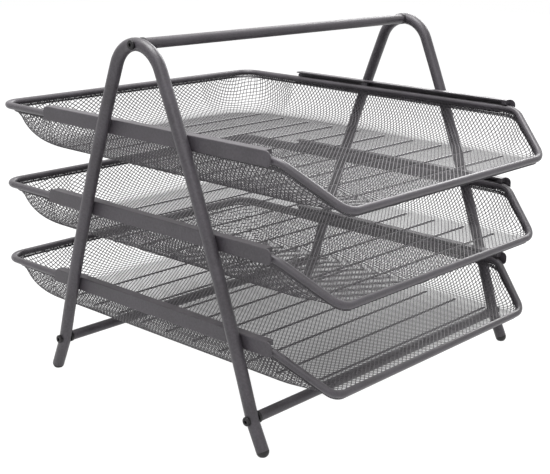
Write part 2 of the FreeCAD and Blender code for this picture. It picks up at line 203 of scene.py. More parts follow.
# %% Powder coat: ripple, specks and slow drift of tone
DRIFT_PER_METRE, DRIFT_SHARE, SPECK_HEIGHT = 38.0, 0.55, 0.25
SPECK_RANGE, TONE_RANGE = (0.58, 0.72), (0.36, 0.64)


def make_coat_group():
    tree, given, result = new_group(
        "powder_coat", {"Place": None, "Ripple per metre": 900.0, "Speck per metre": 2600.0},
        ("Tone", "Speck", "Height"))
    ripple = noise(tree, given["Place"], given["Ripple per metre"], roughness=0.45)
    drift = noise(tree, given["Place"], DRIFT_PER_METRE, detail=3.0)
    specks = remap(tree, noise(tree, given["Place"], given["Speck per metre"], detail=1.0), *SPECK_RANGE)
    tone = maths(tree, "ADD", maths(tree, "MULTIPLY", drift, DRIFT_SHARE),
                 maths(tree, "MULTIPLY", ripple, 1 - DRIFT_SHARE))
    height = maths(tree, "ADD", ripple, maths(tree, "MULTIPLY", specks, SPECK_HEIGHT))
    join(tree, (remap(tree, tone, *TONE_RANGE), result["Tone"]), (specks, result["Speck"]),
         (height, result["Height"]))
    return tree


POWDER_COAT = make_coat_group()
print("powder coat nodes:", len(POWDER_COAT.nodes))

# %% Edge wear: where the surface turns sharply
WEAR_PATCHES_PER_METRE, WEAR_RANGE = 240.0, (0.02, 0.30)


def make_edge_group():
    tree, given, result = new_group("edge_wear", {"Place": None, "Edge width": 0.6 * MM}, ("Edge",))
    softened = add(tree, "ShaderNodeBevel", samples=4)
    actual = add(tree, "ShaderNodeNewGeometry")
    feed(tree, softened.inputs["Radius"], given["Edge width"])
    alike = vector_maths(tree, "DOT_PRODUCT", softened.outputs["Normal"], actual.outputs["Normal"])
    turned = remap(tree, maths(tree, "SUBTRACT", 1.0, alike), *WEAR_RANGE)
    patches = noise(tree, given["Place"], WEAR_PATCHES_PER_METRE)
    join(tree, (maths(tree, "MULTIPLY", turned, patches), result["Edge"]))
    return tree


EDGE_WEAR = make_edge_group()
print("edge wear nodes:", len(EDGE_WEAR.nodes))

# %% Dust: a thin film on what faces up
DUST_CLOUDS_PER_METRE, DUST_FROM_TILT = 95.0, 0.35


def make_dust_group():
    tree, given, result = new_group("settled_dust", {"Place": None}, ("Dust",))
    facing = add(tree, "ShaderNodeNewGeometry").outputs["Normal"]
    faces_up = remap(tree, axes(tree, facing)["Z"], DUST_FROM_TILT, 1.0)
    clouds = noise(tree, given["Place"], DUST_CLOUDS_PER_METRE, detail=5.0)
    join(tree, (maths(tree, "MULTIPLY", faces_up, clouds), result["Dust"]))
    return tree


SETTLED_DUST = make_dust_group()
print("dust nodes:", len(SETTLED_DUST.nodes))

# %% [markdown]
# ## The finishes
#
# All the steel wears one satin charcoal coat, but each kind of part takes it
# differently: tube and bar are smooth, rails show paler folded edges, and mesh holds
# the least coat.  Foot caps are moulded plastic, and the screws are blackened steel.
# One function builds a coated finish from a few values, which keeps them related.

# %% Helpers: colours and the start of a material
def rgb(red, green, blue):
    """The colour written as 0-255 screen values, turned into linear light."""
    lifted = [c / 255 for c in (red, green, blue)]
    return tuple(c / 12.92 if c <= 0.04045 else ((c + 0.055) / 1.055) ** 2.4 for c in lifted) + (1.0,)


def blend_colours(tree, factor, first, second):
    """A Mix node: its colours are inputs 6 and 7, and its blended colour is output 2."""
    node = add(tree, "ShaderNodeMix", data_type="RGBA")
    for entry, value in (("Factor", factor), (6, first), (7, second)):
        feed(tree, node.inputs[entry], value)
    return node.outputs[2]


def group_node(tree, group, place, **values):
    node = add(tree, "ShaderNodeGroup", node_tree=group)
    feed(tree, node.inputs["Place"], place)
    for name, value in values.items():
        feed(tree, node.inputs[name.replace("_", " ")], value)
    return node.outputs


def start_material(name):
    material = bpy.data.materials.new(name)
    material.use_nodes = True
    tree = material.node_tree
    place = add(tree, "ShaderNodeTexCoord").outputs["Object"]
    return material, tree, tree.nodes["Principled BSDF"].inputs, place


# %% Helpers: layers of colour, roughness and fine relief
def stained(tree, colour, *stains):
    """The colour under stains of (mask, strength, colour)."""
    for mask, strength, stain in stains:
        colour = blend_colours(tree, maths(tree, "MULTIPLY", mask, strength), colour, rgb(*stain))
    return colour


def set_roughness(tree, shader, mask, least, spread):
    varied = maths(tree, "ADD", maths(tree, "MULTIPLY", mask, spread), least)
    feed(tree, shader["Roughness"], varied)


def set_bump(tree, shader, height, strength, millimetres):
    """Fine relief from a height, where a height of 1 stands so many millimetres proud."""
    node = add(tree, "ShaderNodeBump")
    for label, value in (("Height", height), ("Strength", strength), ("Distance", millimetres * MM)):
        feed(tree, node.inputs[label], value)
    feed(tree, shader["Normal"], node.outputs["Normal"])


# %% Coated steel
CHARCOAL_DARK, CHARCOAL_PALE, CHARCOAL_EDGE = (60, 56, 61), (82, 78, 84), (124, 120, 125)
WIRE_DARK, WIRE_PALE = (64, 60, 65), (86, 82, 88)
MESH_DARK, MESH_PALE = (54, 51, 55), (74, 71, 76)
DUST_COLOUR = (176, 173, 170)
SPECKS_PER_RIPPLE, SPECK_STRENGTH = 2.9, 0.6
CLEAR_COAT_ROUGHNESS, ROUGHNESS_SPREAD, COAT_RELIEF = 0.34, 0.16, 0.12


def coated(name, rough, ripple, bump, coat, dark=CHARCOAL_DARK, pale=CHARCOAL_PALE, wear=0.5, dust=0.12):
    """Satin powder coat over steel."""
    material, tree, shader, place = start_material(name)
    skin = group_node(tree, POWDER_COAT, place, Ripple_per_metre=ripple,
                      Speck_per_metre=ripple * SPECKS_PER_RIPPLE)
    paint = stained(tree, blend_colours(tree, skin["Tone"], rgb(*dark), rgb(*pale)),
                    (skin["Speck"], SPECK_STRENGTH, dark),
                    (group_node(tree, EDGE_WEAR, place)["Edge"], wear, CHARCOAL_EDGE),
                    (group_node(tree, SETTLED_DUST, place)["Dust"], dust, DUST_COLOUR))
    feed(tree, shader["Base Color"], paint)
    feed(tree, shader["Coat Weight"], coat)
    feed(tree, shader["Coat Roughness"], CLEAR_COAT_ROUGHNESS)
    set_roughness(tree, shader, skin["Tone"], least=rough - ROUGHNESS_SPREAD / 2, spread=ROUGHNESS_SPREAD)
    set_bump(tree, shader, skin["Height"], bump, COAT_RELIEF)
    return material


finish = {
    "coated_tube": coated("coated_tube", rough=0.46, ripple=620.0, bump=0.45, coat=0.15),
    "coated_bar": coated("coated_bar", rough=0.48, ripple=680.0, bump=0.45, coat=0.12),
    "coated_rail": coated("coated_rail", rough=0.50, ripple=580.0, bump=0.50, coat=0.10, wear=0.8),
    "coated_wire": coated("coated_wire", rough=0.44, ripple=1200.0, bump=0.30, coat=0.18,
                          dark=WIRE_DARK, pale=WIRE_PALE),
    "mesh_steel": coated("mesh_steel", rough=0.52, ripple=2400.0, bump=0.25, coat=0.05,
                         dark=MESH_DARK, pale=MESH_PALE, wear=0.2),
}
print("coated finishes:", sorted(finish))

# %% Foot caps and saddle washers: grained black plastic
PLASTIC_DARK, PLASTIC_PALE, PLASTIC_EDGE = (14, 13, 14), (30, 28, 30), (70, 68, 70)


def moulded_plastic(name, grains_per_metre=1800.0, scuffs_per_metre=160.0):
    material, tree, shader, place = start_material(name)
    grain = add(tree, "ShaderNodeTexVoronoi")
    feed(tree, grain.inputs["Vector"], place)
    feed(tree, grain.inputs["Scale"], grains_per_metre)
    scuffs = noise(tree, place, scuffs_per_metre, detail=6.0)
    colour = stained(tree, blend_colours(tree, scuffs, rgb(*PLASTIC_DARK), rgb(*PLASTIC_PALE)),
                     (group_node(tree, EDGE_WEAR, place)["Edge"], 0.5, PLASTIC_EDGE))
    feed(tree, shader["Base Color"], colour)
    set_roughness(tree, shader, scuffs, least=0.42, spread=0.25)
    set_bump(tree, shader, grain.outputs["Distance"], 0.3, 0.1)
    return material


finish["dark_plastic"] = moulded_plastic("dark_plastic")

# %% Screws and threaded inserts: turned metal
BLACK_STEEL, BRASS = ((28, 27, 28), (52, 50, 52)), ((150, 116, 62), (196, 160, 92))
METAL_EDGE = (150, 148, 146)


def turned_metal(name, colours, metallic, rough, rings_per_metre=1400.0, stains_per_metre=420.0):
    """Fine rings round the X axis, which every screw and insert here lies along."""
    material, tree, shader, place = start_material(name)
    rings = add(tree, "ShaderNodeTexWave", wave_type="BANDS", bands_direction="X")
    feed(tree, rings.inputs["Vector"], place)
    feed(tree, rings.inputs["Scale"], rings_per_metre)
    feed(tree, rings.inputs["Distortion"], 1.5)
    stain = noise(tree, place, stains_per_metre, detail=5.0)
    worn = group_node(tree, EDGE_WEAR, place, Edge_width=0.3 * MM)["Edge"]
    deep, bright = colours
    colour = stained(tree, blend_colours(tree, stain, rgb(*deep), rgb(*bright)), (worn, 0.7, METAL_EDGE))
    feed(tree, shader["Base Color"], colour)
    feed(tree, shader["Metallic"], metallic)
    set_roughness(tree, shader, stain, least=rough, spread=0.2)
    set_bump(tree, shader, rings.outputs["Color"], 0.2, 0.05)
    return material


finish["screw_steel"] = turned_metal("screw_steel", BLACK_STEEL, metallic=0.6, rough=0.28)
finish["insert_brass"] = turned_metal("insert_brass", BRASS, metallic=0.9, rough=0.25)
print("all finishes:", sorted(finish))

# %% Put the finishes on the solids
def finish_name(node):
    """The finish of a node, from what the node is called."""
    if node.startswith("side_frame"):
        return "coated_tube"
    if node.endswith("_bar"):
        return "coated_bar"
    if node.startswith("rail_"):
        return "coated_rail"
    if node.startswith("foot_cap") or node == "saddle_washers":
        return "dark_plastic"
    if node.startswith("tray_"):
        return "coated_wire" if node.endswith(("rim_wire", "stop_lugs")) else "mesh_steel"
    return {"frame_screws": "screw_steel", "threaded_inserts": "insert_brass"}[node]


for name, node in nodes.items():
    for material_slot in node.material_slots:
        material_slot.material = finish[finish_name(name)]
print({n: finish_name(n) for n in sorted(nodes)[:6]}, "and", len(nodes) - 6, "more")

# %% [markdown]
# ## The shape of a mesh tray
#
# Each tray is one sheet of fine diamond mesh, pressed over a form: a flat floor with
# ten cross creases, and walls that curve up to the rim wire.  In front the sheet
# runs almost level to the lip.  A flat sheet with a pattern image would be simple,
# but light and shadow pass through real openings, so every strand is modelled.
# First comes the law of the pressed shape.  It says where a point of the flat
# sheet ends up, so strands that are straight on the flat sheet become the strands of
# the finished tray.

# %% Sizes of a tray, in millimetres from its own middle and its rim wire
RIM_HALF, RIM_HALF_LENGTH, WIRE_RADIUS = 134.8, 171.75, 2.6
FRONT_HALF, LIP_DROP, SLOPE_RUN = 113.4, 29.3, 39.0
FLOOR_HALF, FLOOR_FRONT_HALF, FLOOR_DEPTH = 110.2, 105.5, 31.6
FLOOR_SETBACK_REAR, FLOOR_SETBACK_FRONT = 24.6, 5.5
SHEET = 0.7
TOP_INSET, TOP_DROP = 2.25, 1.35              # the sheet's top edge, inside and below the wire's middle
HEM_TOP, UPRIGHT_DEPTH = 1.0, 6.2             # the sheet stands upright between these depths
BEND_Y, FRONT_Y = SLOPE_RUN - RIM_HALF_LENGTH, -RIM_HALF_LENGTH
FLOOR_REAR, FLOOR_FRONT = RIM_HALF_LENGTH - FLOOR_SETBACK_REAR, FLOOR_SETBACK_FRONT - RIM_HALF_LENGTH
UPRIGHT_SHARE = (UPRIGHT_DEPTH - TOP_DROP) / (FLOOR_DEPTH - TOP_DROP)
print("floor: %.1f x %.1f mm" % (2 * FLOOR_HALF, FLOOR_REAR - FLOOR_FRONT))

# %% Corner radii: at the rear corner, the bend of the side and the front corner
REAR_RADIUS, UPRIGHT_REAR_RADIUS, BEND_RADIUS, FRONT_RADIUS = 15.0, 26.5, 18.0, 14.0
FLOOR_RADII = (37.0, 30.0, 13.0)
CORNER_GROWTH = 0.4                           # under 1, a corner widens soon below the upright part


def rear_radius(depth):
    """The rear corner widens evenly down the upright part of the wall."""
    share = (depth - HEM_TOP) / (UPRIGHT_DEPTH - HEM_TOP)
    return REAR_RADIUS + (UPRIGHT_REAR_RADIUS - REAR_RADIUS) * share


def upright_radii(depth, inset):
    return rear_radius(depth) - inset, BEND_RADIUS, FRONT_RADIUS - inset


TOP_RADII = upright_radii(TOP_DROP, TOP_INSET)
FOOT_RADII = upright_radii(UPRIGHT_DEPTH, TOP_INSET)

# %% Creases across the floor
CREASE_FIRST, CREASE_LAST, CREASE_COUNT = 31.5, 46.05, 10
CREASE_WIDTH, CREASE_DEPTH, CREASE_RUN_OUT, CREASE_END_GAP = 2.0, 0.35, 1.5, 2.5
CREASE_HALF_LENGTH = FLOOR_HALF - CREASE_END_GAP
crease_lines = np.linspace(FRONT_Y + CREASE_FIRST, RIM_HALF_LENGTH - CREASE_LAST, CREASE_COUNT)
print("creases at", crease_lines.round(1))


# %% Outlines: half of the tray's edge at one height
ARC_STEPS = 60                                # points in each rounded corner


def inset_outline(points, distance):
    """Corner points moved inward in plan."""
    runs = np.diff(points[:, :2], axis=0)
    runs /= np.linalg.norm(runs, axis=1)[:, None]
    normals = np.stack([runs[:, 1], -runs[:, 0]], axis=1)
    moved = points.copy()
    moved[0, :2] += normals[0] * distance
    moved[-1, :2] += normals[-1] * distance
    for i in range(1, len(points) - 1):
        both = normals[i - 1] + normals[i]
        moved[i, :2] += both * distance / (1 + normals[i - 1] @ normals[i])
    return moved


# %% Rounded corners, and places along a line
def rounded(points, radii):
    """The outline with rounded corners as a polyline, and where each arc starts and ends."""
    line, marks = [points[0]], []
    for i, radius in enumerate(radii, start=1):
        corner = points[i]
        back = (points[i - 1] - corner) / np.linalg.norm(points[i - 1] - corner)
        ahead = (points[i + 1] - corner) / np.linalg.norm(points[i + 1] - corner)
        half = (math.pi - math.acos(back @ ahead)) / 2
        inward = (back + ahead) / np.linalg.norm(back + ahead)
        across = (ahead - back) / np.linalg.norm(ahead - back)
        centre = corner + inward * radius / math.cos(half)
        marks.append(len(line))
        for turn in np.linspace(-half, half, ARC_STEPS):
            line.append(centre + radius * (-inward * math.cos(turn) + across * math.sin(turn)))
        marks.append(len(line) - 1)
    line.append(points[-1])
    return np.array(line), marks


def path_lengths(points):
    """Lengths from the start along a polyline, or along each of many."""
    steps = np.linalg.norm(np.diff(points, axis=-2), axis=-1)
    return np.concatenate([np.zeros_like(steps[..., :1]), np.cumsum(steps, axis=-1)], axis=-1)


def read_along(wanted, along, rows):
    """The rows of a table, mixed where the wanted lengths fall between them."""
    return np.stack([np.interp(wanted, along, rows[:, axis]) for axis in range(3)], axis=1)


# %% The wire, the floor's edge and the sheet's top edge
rim_corners = np.array([(0, RIM_HALF_LENGTH, 0), (RIM_HALF, RIM_HALF_LENGTH, 0), (RIM_HALF, BEND_Y, 0),
                        (FRONT_HALF, FRONT_Y, -LIP_DROP), (0, FRONT_Y, -LIP_DROP)], float)
floor_corners = np.array([(0, FLOOR_REAR, 0), (FLOOR_HALF, FLOOR_REAR, 0), (FLOOR_HALF, BEND_Y, 0),
                          (FLOOR_FRONT_HALF, FLOOR_FRONT, 0), (0, FLOOR_FRONT, 0)], float)
floor_corners[:, 2] = -FLOOR_DEPTH
top_corners = inset_outline(rim_corners, TOP_INSET) - (0, 0, TOP_DROP)
print("corner points of half an outline:", len(rim_corners))


# %% The wall law: outlines from the floor up to the rim
CURVE_STEPS = 24


def wall_outline(across, down, radii):
    """One outline of the sheet's middle: shares of the way out to the rim and down to the floor."""
    points = floor_corners + (top_corners - floor_corners) * (across, across, 0)
    points[:, 2] = top_corners[:, 2] + (floor_corners[:, 2] - top_corners[:, 2]) * down
    skin = SHEET / 2 * across
    lift = SHEET / 2 * max(0.0, (down - UPRIGHT_SHARE) / (1 - UPRIGHT_SHARE))
    return inset_outline(points, skin) + (0, 0, lift), [radius - skin for radius in radii]


def curved_outlines():
    """A quarter of an ellipse from the floor's edge up to the foot of the upright part."""
    for step in range(CURVE_STEPS + 1):
        angle = math.pi / 2 * (1 - step / CURVE_STEPS)
        grown = math.sin(angle) ** CORNER_GROWTH if angle > 0 else 0.0
        radii = [foot + (floor - foot) * grown for foot, floor in zip(FOOT_RADII, FLOOR_RADII)]
        yield wall_outline(math.cos(angle), UPRIGHT_SHARE + (1 - UPRIGHT_SHARE) * math.sin(angle), radii)


wall_outlines = [*curved_outlines(), wall_outline(1.0, 0.0, TOP_RADII)]
print("wall outlines:", len(wall_outlines))

# %% Stations: which points of two outlines belong together
STATIONS, PER_STATION = 5, 40
SLOW_BEND = 140.0                             # a slow bend in the feet keeps the strands from bunching
floor_line, floor_marks = rounded(floor_corners, (FLOOR_RADII[0], SLOW_BEND, FLOOR_RADII[2]))


def station_lengths(line, marks):
    """Lengths along an outline to its stations, from the rear middle round to the front middle."""
    along = path_lengths(line)
    rear_corner = FLOOR_HALF - FLOOR_RADII[0]
    side_start = along[marks[1]] + abs(line[marks[1], 1] - (FLOOR_REAR - FLOOR_RADII[0]))
    bend = (along[marks[2]] + along[marks[3]]) / 2
    front_corner = along[-1] - floor_line[floor_marks[5], 0]
    return along, [0.0, rear_corner, side_start, bend, front_corner, along[-1]]


def eased(wanted, known, values):
    """A smooth rising curve through known values, so that strands bend without a kink."""
    known, values = np.asarray(known, float), np.asarray(values, float)
    steps = np.diff(known)
    rises = np.diff(values) / steps
    middle = 2 * rises[:-1] * rises[1:] / (rises[:-1] + rises[1:])
    slopes = np.concatenate([rises[:1], middle, rises[-1:]])
    i = np.clip(np.searchsorted(known, wanted, side="right") - 1, 0, len(steps) - 1)
    t = (wanted - known[i]) / steps[i]
    return ((1 + 2 * t) * (1 - t) ** 2 * values[i] + t * (1 - t) ** 2 * steps[i] * slopes[i]
            + t * t * (3 - 2 * t) * values[i + 1] - t * t * (1 - t) * steps[i] * slopes[i + 1])


# %% The wall as a grid of places: stations round the tray, outlines up the wall
floor_along, floor_stops = station_lengths(floor_line, floor_marks)
station_grid = np.linspace(0, STATIONS, STATIONS * PER_STATION + 1)
floor_grid = np.interp(station_grid, range(STATIONS + 1), floor_stops)


def sample_outline(corners, radii):
    line, marks = rounded(corners, radii)
    along, stops = station_lengths(line, marks)
    return read_along(eased(floor_grid, floor_stops, stops), along, line)


wall = np.stack([sample_outline(*outline) for outline in wall_outlines], axis=1)
wall_run = path_lengths(wall)
true_length = wall_run[:, -1]
flat_length = true_length.copy()              # the press stretches the mesh round the rear corner
corner_rows = (station_grid > 1) & (station_grid < 2)
flat_length[corner_rows] = np.interp(station_grid[corner_rows], (1, 2),
                                     (true_length[PER_STATION], true_length[2 * PER_STATION]))
print("wall height of the sheet: %.1f mm at the side, %.1f mm round the rear corner" %
      (true_length[2 * PER_STATION], true_length[PER_STATION * 3 // 2]))

# %% [markdown]
# ## From flat sheet to tray
#
# On the floor a point stays where it is.  Outside the floor's edge it keeps its foot
# on that edge, and its distance from the edge becomes the way up the wall.  This is
# how a sheet lies over a form.  It keeps the diamonds' shape on the straight walls
# and draws them long in the corners, as a press does.

# %% The foot of a flat point on the floor's edge
BATCH = 20000                                 # points at a time, to spare memory
segment_start, segment_run = floor_line[:-1, :2], np.diff(floor_line[:, :2], axis=0)
segment_length = np.linalg.norm(segment_run, axis=1)
segment_run = segment_run / segment_length[:, None]
outward = np.stack([-segment_run[:, 1], segment_run[:, 0]], axis=1)


def batch_foot(points):
    offset = points[:, None, :] - segment_start[None]
    along = np.clip((offset * segment_run).sum(2), 0, segment_length)
    gap = offset - along[..., None] * segment_run
    nearest = np.argmin((gap ** 2).sum(2), axis=1)
    row = np.arange(len(points))
    reach = gap[row, nearest]
    side = np.sign((reach * outward[nearest]).sum(1))
    station = np.interp(floor_along[nearest] + along[row, nearest], floor_stops, range(STATIONS + 1))
    return station, side * np.linalg.norm(reach, axis=1)


def floor_foot(points):
    """For points of the right half: the station of the nearest edge point, and the distance outside it."""
    parts = [batch_foot(points[first:first + BATCH]) for first in range(0, len(points), BATCH)]
    return np.concatenate([p[0] for p in parts]), np.concatenate([p[1] for p in parts])


# %% The way up the wall
wall_normal = np.cross(np.gradient(wall, axis=0), np.gradient(wall, axis=1))
wall_normal /= np.linalg.norm(wall_normal, axis=2)[..., None]
wall_normal *= np.sign(wall_normal[:, :1, 2:3])          # towards the inside of the tray
print("wall grid: %d stations by %d outlines" % wall.shape[:2])


def on_wall(station, outside):
    """Places and sheet normals for points up the wall."""
    row = np.minimum((station * PER_STATION).astype(int), len(wall) - 2)
    share = (station * PER_STATION - row)[:, None]
    run = wall_run[row] * (1 - share) + wall_run[row + 1] * share
    climbed = outside * run[:, -1] / np.interp(station, station_grid, flat_length)
    step = np.clip((run <= climbed[:, None]).sum(1) - 1, 0, run.shape[1] - 2)
    pick = np.arange(len(station))
    part = ((climbed - run[pick, step]) / (run[pick, step + 1] - run[pick, step]))[:, None]
    mixed = []
    for table in (wall, wall_normal):
        low = table[row, step] * (1 - share) + table[row + 1, step] * share
        high = table[row, step + 1] * (1 - share) + table[row + 1, step + 1] * share
        mixed.append(low * (1 - part) + high * part)
    return mixed


# %% Press flat points into the tray's shape
def crease_dip(points):
    """How far the floor dips at a point of the right half."""
    from_crease = np.abs(points[:, 1][:, None] - crease_lines).min(1)
    dip = np.clip(1 - from_crease / (CREASE_WIDTH / 2), 0, 1) * CREASE_DEPTH
    return dip * np.clip((CREASE_HALF_LENGTH - points[:, 0]) / CREASE_RUN_OUT, 0, 1)


def press(points):
    """Flat points (x, y) to places and normals on the tray."""
    right_half = np.stack([np.abs(points[:, 0]), points[:, 1]], axis=1)
    station, outside = floor_foot(right_half)
    on_floor, up_wall = outside <= 0, outside > 0
    place = np.column_stack([right_half, np.full(len(points), -FLOOR_DEPTH + SHEET / 2)])
    normal = np.tile((0.0, 0.0, 1.0), (len(points), 1))
    place[on_floor, 2] -= crease_dip(right_half[on_floor])
    place[up_wall], normal[up_wall] = on_wall(station[up_wall], outside[up_wall])
    side = np.where(points[:, 0] < 0, -1.0, 1.0)
    place[:, 0] *= side
    normal[:, 0] *= side
    return place, normal


# %% [markdown]
# ## The strands
#
# The mesh is steel with diamond openings, a little longer across the tray than along
# it, so two families of slanting strands cross each other.  A strand is a straight
# line on the flat sheet.  It needs points only where the sheet bends: at the
# creases, at the floor's edge and up the walls.  Python lays out these lines, and a
# Geometry Nodes tree gives them their flat cross-section, because its width and
# thickness stay inputs that can be changed at any time.

# %% One family of strands on the flat sheet
OPENING_ACROSS, OPENING_ALONG = 4.7, 3.47     # from diamond to diamond, across and along the tray
WALL_STEP = 1.6                               # between the points of a strand up the wall
FAR = 330.0                                   # beyond the sheet's corners
EDGE_CLEARANCE = 0.3                          # no crease point this near the floor's edge
SAMPLE_STEP, FEWEST_SAMPLES = 1.0, 4          # along a strand, and for a strand worth making
STRAND_PITCH = OPENING_ACROSS * OPENING_ALONG / math.hypot(OPENING_ACROSS, OPENING_ALONG)
ACROSS = np.array([STRAND_PITCH / OPENING_ACROSS, STRAND_PITCH / OPENING_ALONG])
ALONG = np.array([-ACROSS[1], ACROSS[0]])


def room_left(points):
    """Flat distance to the sheet's rim (positive inside) and to the floor's edge (positive outside)."""
    station, outside = floor_foot(np.stack([np.abs(points[:, 0]), points[:, 1]], axis=1))
    return np.interp(station, station_grid, flat_length) - outside, outside


def crossing(values, i):
    """Where on the strand a sampled value crosses zero, between sample i and the next."""
    return -FAR + SAMPLE_STEP * (i + values[i] / (values[i] - values[i + 1]))


def wall_stops(start, end, fewest=2):
    return np.linspace(start, end, max(fewest, int((end - start) / WALL_STEP)))


# %% Where a strand gets its points
def strand_stops(offset):
    """Places along one flat strand where it gets a point, or None where it misses the sheet."""
    along = np.arange(-FAR, FAR + SAMPLE_STEP, SAMPLE_STEP)
    room, outside = room_left(offset * ACROSS + along[:, None] * ALONG)
    inside = np.flatnonzero(room > 0)
    if len(inside) < FEWEST_SAMPLES:
        return None
    start, end = crossing(room, inside[0] - 1), crossing(room, inside[-1])
    on_floor = np.flatnonzero(outside < 0)
    if len(on_floor) < 2:
        return wall_stops(start, end, fewest=3)
    lower, upper = crossing(outside, on_floor[0] - 1), crossing(outside, on_floor[-1])
    creased = (crease_lines[:, None] + np.array([-0.5, 0, 0.5]) * CREASE_WIDTH).ravel()
    creased = (creased - offset * ACROSS[1]) / ALONG[1]
    creased = creased[(creased > lower + EDGE_CLEARANCE) & (creased < upper - EDGE_CLEARANCE)]
    stops = np.concatenate([wall_stops(start, lower), creased, wall_stops(upper, end)])
    return np.unique(np.round(stops, 4))


flat_points, strand_edges = [], []
for offset in np.arange(-FAR, FAR, STRAND_PITCH):
    stops = strand_stops(offset)
    if stops is None:
        continue
    first = sum(len(points) for points in flat_points)
    flat_points.append(offset * ACROSS + stops[:, None] * ALONG)
    strand_edges += [(first + i, first + i + 1) for i in range(len(stops) - 1)]
strand_places, strand_normals = press(np.concatenate(flat_points))
print("strands: %d, points: %d" % (len(flat_points), len(strand_places)))


# %% A tree that gives lines a flat cross-section
def strand_tree():
    tree = bpy.data.node_groups.new("mesh_strands", "GeometryNodeTree")
    for label, side, kind in (("Geometry", "INPUT", "Geometry"), ("Strand width", "INPUT", "Float"),
                              ("Strand thickness", "INPUT", "Float"), ("Finish", "INPUT", "Material"),
                              ("Geometry", "OUTPUT", "Geometry")):
        tree.interface.new_socket(label, in_out=side, socket_type="NodeSocket" + kind)
    given, result = add(tree, "NodeGroupInput").outputs, add(tree, "NodeGroupOutput").inputs
    lines = add(tree, "GeometryNodeMeshToCurve")
    turn = add(tree, "GeometryNodeSetCurveNormal", mode="FREE")
    facing = add(tree, "GeometryNodeInputNamedAttribute", data_type="FLOAT_VECTOR")
    feed(tree, facing.inputs["Name"], "sheet_normal")
    section = add(tree, "GeometryNodeCurvePrimitiveQuadrilateral")
    strand = add(tree, "GeometryNodeCurveToMesh")
    feed(tree, strand.inputs["Fill Caps"], True)
    flat = add(tree, "GeometryNodeSetShadeSmooth")
    feed(tree, flat.inputs["Shade Smooth"], False)
    real = add(tree, "GeometryNodeRealizeInstances")
    paint = add(tree, "GeometryNodeSetMaterial")
    join(tree, (given["Geometry"], lines.inputs["Mesh"]),
         (lines.outputs["Curve"], turn.inputs["Curve"]),
         (facing.outputs["Attribute"], turn.inputs["Normal"]),
         (turn.outputs["Curve"], strand.inputs["Curve"]),
         (given["Strand thickness"], section.inputs["Width"]),
         (given["Strand width"], section.inputs["Height"]),
         (section.outputs["Curve"], strand.inputs["Profile Curve"]),
         (strand.outputs["Mesh"], flat.inputs["Geometry"]),
         (flat.outputs["Geometry"], real.inputs["Geometry"]),
         (real.outputs["Geometry"], paint.inputs["Geometry"]),
         (given["Finish"], paint.inputs["Material"]),
         (paint.outputs["Geometry"], result["Geometry"]))
    return tree


STRAND_TREE = strand_tree()
print("strand tree nodes:", len(STRAND_TREE.nodes))


# %% Run the tree over lines
def lines_mesh(places, edges, normals):
    """Bare lines, in metres, that carry the sheet's normal at each point."""
    lines = bpy.data.meshes.new("lines")
    lines.from_pydata((places * MM).tolist(), edges, [])
    facing = lines.attributes.new("sheet_normal", "FLOAT_VECTOR", "POINT")
    facing.data.foreach_set("vector", np.asarray(normals, float).ravel())
    return lines


def grow(name, lines, width, thickness):
    """Run the strand tree over lines, and keep the result as a plain mesh object."""
    seed = bpy.data.objects.new(name + ".seed", lines)
    bpy.context.scene.collection.objects.link(seed)
    modifier = seed.modifiers.new("grow", "NODES")
    modifier.node_group = STRAND_TREE
    sockets = {item.name: item.identifier for item in STRAND_TREE.interface.items_tree
               if item.item_type == "SOCKET" and item.in_out == "INPUT"}
    modifier[sockets["Strand width"]] = width * MM
    modifier[sockets["Strand thickness"]] = thickness * MM
    modifier[sockets["Finish"]] = finish["mesh_steel"]
    shape = bpy.data.meshes.new_from_object(seed.evaluated_get(bpy.context.evaluated_depsgraph_get()))
    bpy.data.objects.remove(seed)
    piece = bpy.data.objects.new(name, shape)
    bpy.context.scene.collection.objects.link(piece)
    return piece


def dress(piece, tray, plain):
    """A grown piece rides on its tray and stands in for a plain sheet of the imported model."""
    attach(piece, "tray_" + tray)
    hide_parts("tray_%s_%s" % (tray, plain))


def triangles(piece):
    return sum(len(face.vertices) - 2 for face in piece.data.polygons)


# %% Grow the mesh of each tray
STRAND_WIDTH, STRAND_THICKNESS = 0.56, 0.30
FAMILY_LIFT = 0.02                            # one family lies a hair above the other where they cross
TRAYS = ("bottom", "middle", "top")


def tray_place(tray):
    """The middle of a tray at the height of its rim wire's middle, in millimetres."""
    low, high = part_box("tray_%s_rim_wire" % tray)
    return np.array([0.0, (low[1] + high[1]) / 2 / MM, high[2] / MM - WIRE_RADIUS])


for tray in TRAYS:
    for lean, side, lift in (("rising", 1.0, FAMILY_LIFT), ("falling", -1.0, -FAMILY_LIFT)):
        mirror = (side, 1, 1)
        places = (strand_places + strand_normals * lift) * mirror + tray_place(tray)
        lines = lines_mesh(places, strand_edges, strand_normals * mirror)
        piece = grow("tray_%s_mesh_%s" % (tray, lean), lines, STRAND_WIDTH, STRAND_THICKNESS)
        dress(piece, tray, "basket")
    print(tray, "tray:", triangles(piece), "triangles in", piece.name)

# %% [markdown]
# ## The hem
#
# The sheet's edge is folded back outside the mesh, just under the rim wire.  A plain
# band would do from afar, but light shines through the real one.  So the strip gets
# crossing strands of its own from the same tree, and one strand runs along its foot.

# %% The two edges of the hem
HEM_INSET, HEM_PITCH, HEM_EDGE_WIDTH = 1.5, 1.3, 0.7
HEM_DEPTHS = (3.9, 3.9, 6.2, 4.1, 4.1)        # at the five corner points, from the rear to the front middle


def hem_line(depths):
    points = inset_outline(rim_corners, HEM_INSET)
    points[:, 2] -= depths
    return sample_outline(points, upright_radii(depths[0], HEM_INSET))


